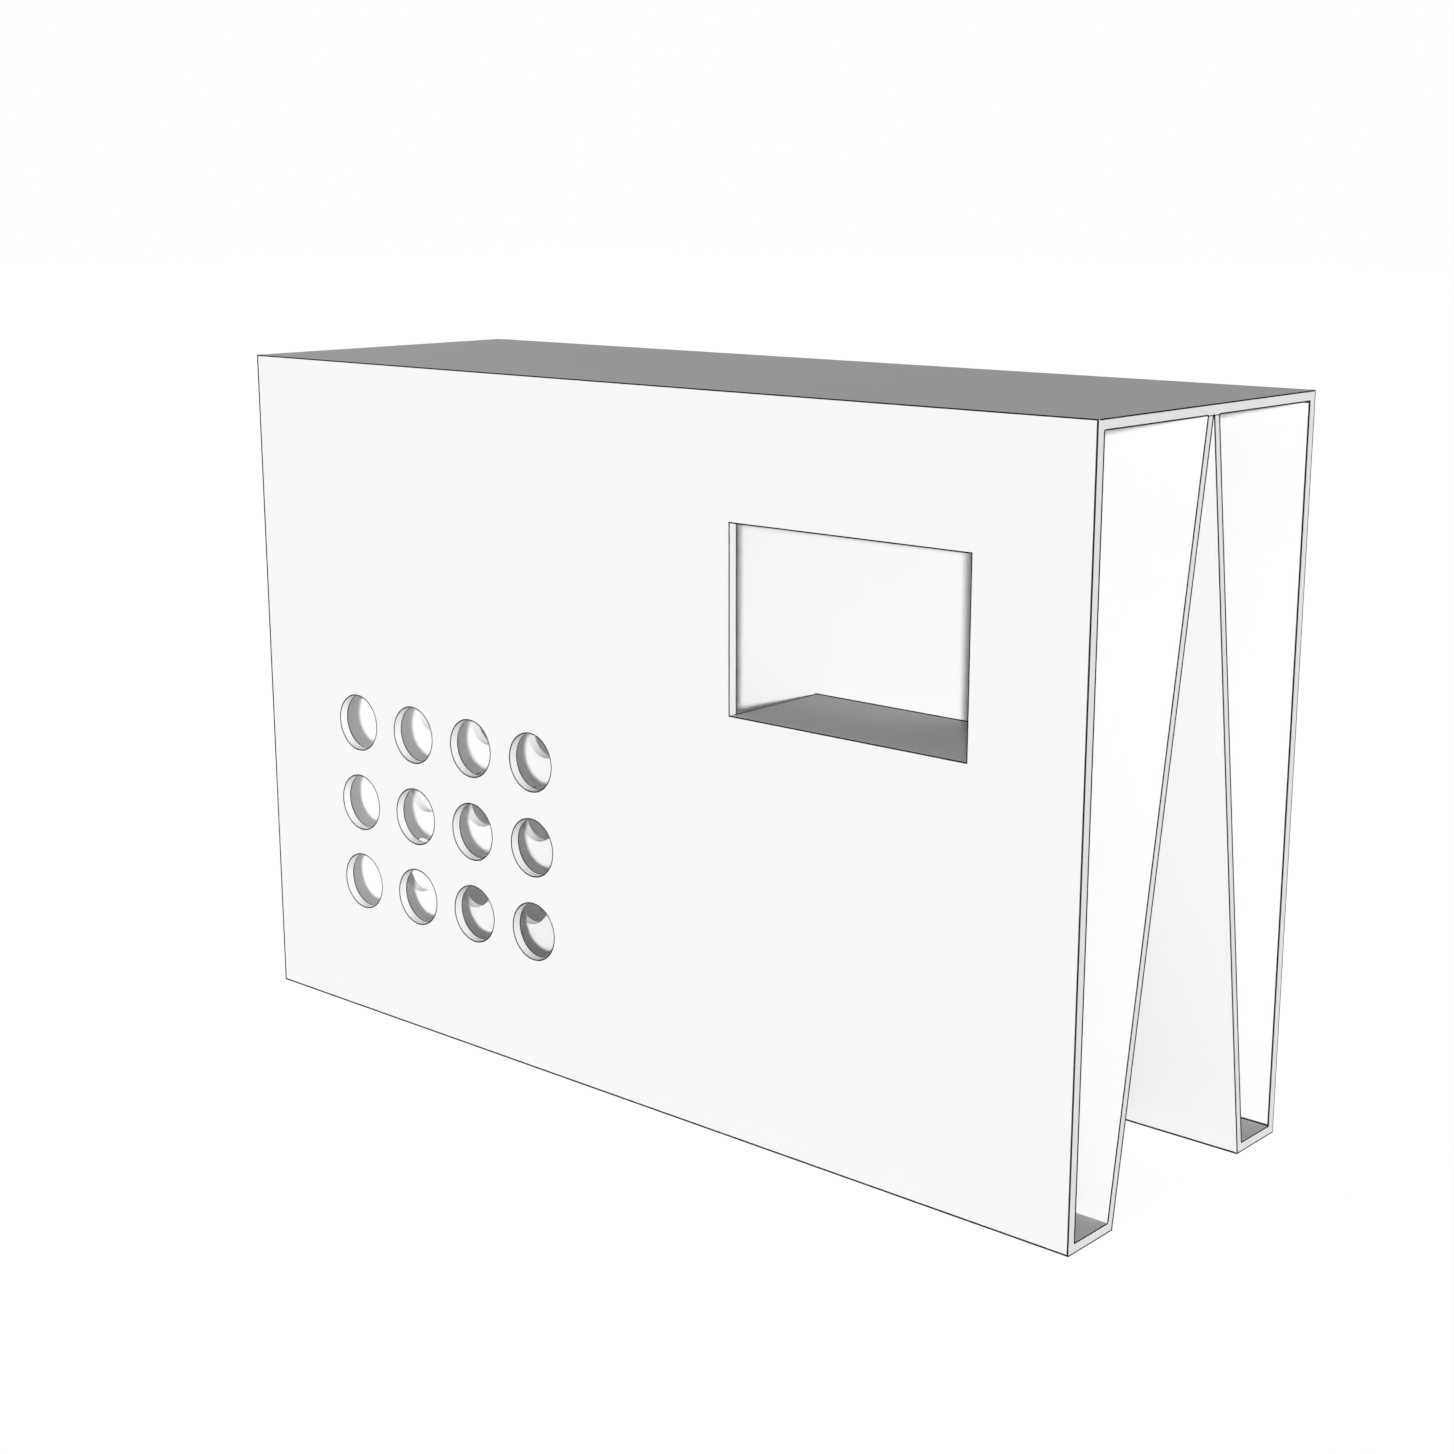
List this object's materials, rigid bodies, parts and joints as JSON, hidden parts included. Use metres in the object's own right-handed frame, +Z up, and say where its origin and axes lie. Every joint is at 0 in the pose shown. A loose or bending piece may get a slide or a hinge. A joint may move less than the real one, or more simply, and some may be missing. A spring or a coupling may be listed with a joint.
{
  "type": "wine bottle stand",
  "caption": "Counter folded from one sheet into an M-shaped section, with round holes that hold bottles lying level and a window onto a shelf for glasses.",
  "frame": {"origin": "on the floor, under the middle of the top", "axes": "+X along the counter to the right seen from the front, +Y from front to back, +Z up"},
  "size_m": [1.3716, 0.4572, 0.9144],
  "materials": {
    "white_laminate": "matt",
    "grey_laminate": "matt"
  },
  "bodies": {
    "root": {"folded_body": "white_laminate", "window_shelf": "grey_laminate"}
  },
  "joints": []
}
